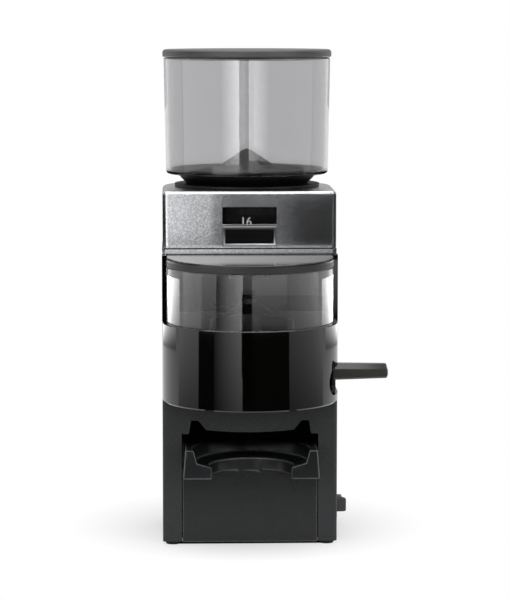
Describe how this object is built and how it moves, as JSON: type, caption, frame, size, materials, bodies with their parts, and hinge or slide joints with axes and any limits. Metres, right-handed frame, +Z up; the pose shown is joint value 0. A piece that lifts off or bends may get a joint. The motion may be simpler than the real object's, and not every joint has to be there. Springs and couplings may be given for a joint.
{
  "type": "burr coffee grinder",
  "caption": "Upright flat-burr coffee grinder with a clear bean hopper, turning grind collar, lever-worked grounds doser and a portafilter fork.",
  "frame": {"origin": "where the burr axis meets the table", "axes": "+Z up along the burr axis, -Y towards the doser, +X to the side of the lever and the switch"},
  "size_m": [0.165, 0.206, 0.359],
  "materials": {
    "foot_rubber": "matt black rubber",
    "housing_grey": "fine-grained dark grey",
    "fork_grey": "satin dark grey",
    "doser_black": "gloss black",
    "lid_grey": "satin dark grey",
    "trim_black": "satin black",
    "smoke_clear": "clear with a grey tint",
    "cover_silver": "metallic silver with a fine hammered grain",
    "plate_black": "black with a bare face",
    "steel": "bright steel",
    "burr_steel": "hardened and ground",
    "lamination": "stacked laminations",
    "copper": "enamelled copper wire",
    "casting": "die cast",
    "can_grey": "drawn can"
  },
  "bodies": {
    "frame": {"base_plate": "steel", "burr_chamber": "casting", "capacitor": "can_grey", "capacitor_clip": "steel", "case_screws": "steel", "chamber_bearing": "steel", "chamber_screws": "steel", "click_spring": "steel", "cord_inlet": "trim_black", "cover_screws": "steel", "dial_lens": "smoke_clear", "doser_body": "doser_black", "doser_screws": "steel", "doser_spindle": "steel", "doser_window": "smoke_clear", "fork_panel": "fork_grey", "fork_screws": "steel", "grounds_chute": "trim_black", "lever_spring": "steel", "lower_bracket": "casting", "lower_housing": "housing_grey", "motor_bearings": "steel", "motor_bolts": "steel", "motor_plate": "steel", "motor_stator": "lamination", "motor_windings": "copper", "name_plate": "plate_black", "rubber_feet": "foot_rubber", "spindle_nut": "steel", "switch_body": "trim_black", "top_cover": "cover_silver", "upper_bracket": "casting", "upper_housing": "doser_black"},
    "rotor": {"motor_shaft": "steel", "rotor_core": "lamination", "cooling_fan": "trim_black", "lower_burr_carrier": "casting", "lower_burr": "burr_steel", "lower_burr_screws": "steel", "shaft_nut": "steel"},
    "adjuster": {"adjusting_collar": "trim_black", "number_ring": "trim_black", "hopper": "smoke_clear", "bean_guard": "trim_black"},
    "carrier": {"burr_carrier": "casting", "upper_burr": "burr_steel", "upper_burr_screws": "steel"},
    "hopper_cap": {"hopper_lid": "lid_grey"},
    "doser_cap": {"doser_lid": "lid_grey"},
    "lever": {"lever_arm": "steel", "lever_handle": "trim_black"},
    "pawl": {"pawl": "steel"},
    "star": {"dosing_star": "trim_black", "ratchet_wheel": "steel"},
    "rocker": {"switch_rocker": "trim_black"}
  },
  "joints": [
    {"name": "motor_spin", "type": "hinge", "parent": "frame", "child": "rotor", "pos_m": [0, 0, 0.1], "axis": [0, 0, 1], "continuous": true},
    {"name": "grind_adjust", "type": "hinge", "parent": "frame", "child": "adjuster", "pos_m": [0, 0, 0.25], "axis": [0, 0, 1], "range_deg": [-70, 260]},
    {"name": "burr_rise", "type": "slide", "parent": "adjuster", "child": "carrier", "axis": [0, 0, 1], "range_m": [-0.0003, 0.0011]},
    {"name": "hopper_lid_lift", "type": "slide", "parent": "adjuster", "child": "hopper_cap", "axis": [0, 0, 1], "range_m": [0, 0.06]},
    {"name": "doser_lid_lift", "type": "slide", "parent": "frame", "child": "doser_cap", "axis": [0, 0, 1], "range_m": [0, 0.04]},
    {"name": "lever_pull", "type": "hinge", "parent": "frame", "child": "lever", "pos_m": [0, -0.076, 0.1232], "axis": [0, 0, -1], "range_deg": [0, 30], "stiffness_Nm_per_rad": 0.6, "springref_deg": -20.05},
    {"name": "star_turn", "type": "hinge", "parent": "frame", "child": "star", "pos_m": [0, -0.076, 0.1532], "axis": [0, 0, -1], "range_deg": [0, 30]},
    {"name": "pawl_swing", "type": "hinge", "parent": "lever", "child": "pawl", "pos_m": [0.0265, -0.07085, 0.1302], "axis": [0, 0, 1], "range_deg": [0, 12], "stiffness_Nm_per_rad": 0.01, "springref_deg": -5.73},
    {"name": "switch_rock", "type": "hinge", "parent": "frame", "child": "rocker", "pos_m": [0.0635, -0.04, 0.0235], "axis": [0, 0, 1], "range_deg": [-18, 0]}
  ],
  "couplings": [
    {"joint": "burr_rise", "follows": "grind_adjust", "m_per_rad": 0.00023873},
    {"joint": "star_turn", "follows": "lever_pull", "ratio": 1}
  ]
}
